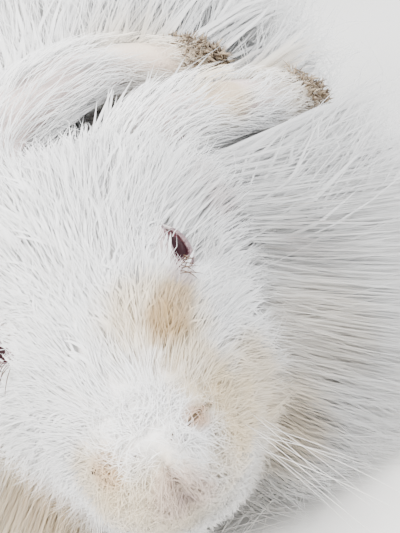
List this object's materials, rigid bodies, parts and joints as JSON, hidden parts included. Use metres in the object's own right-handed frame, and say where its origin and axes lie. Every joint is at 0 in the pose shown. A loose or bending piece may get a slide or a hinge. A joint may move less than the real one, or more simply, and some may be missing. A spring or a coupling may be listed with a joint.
{
  "type": "angora rabbit model",
  "caption": "Life-size still model of a long-coated white angora rabbit crouched at rest, with its head low and its ears laid back over the ruff.",
  "frame": {"origin": "on the floor, on the flat that the chest and belly wool rests on", "axes": "-Z down to the floor, +Y from the nose to the rump, +X to the animal's left"},
  "size_m": [0.2385, 0.3862, 0.1764],
  "materials": {
    "body_wool": "long soft white wool with a cream tint at the tips",
    "face_wool": "white fur with beige stains below the eyes and round the mouth",
    "foot_fur": "short dense fur, cream at the toes",
    "ear_skin": "thin skin with short fur, brown crust at the tips",
    "eye": "wet dark red eye",
    "nose_skin": "bare pink skin of the nose, lips and lids",
    "claw": "horn",
    "whisker": "stiff white hair"
  },
  "bodies": {
    "root": {"head": "face_wool", "eye_left": "eye", "eye_right": "eye", "ear_left": "ear_skin", "ear_right": "ear_skin", "neck": "body_wool", "torso_front": "body_wool", "torso_rear": "body_wool", "tail": "body_wool", "foreleg_left": "foot_fur", "foreleg_right": "foot_fur", "hindleg_left": "body_wool", "hindleg_right": "body_wool"}
  },
  "joints": []
}
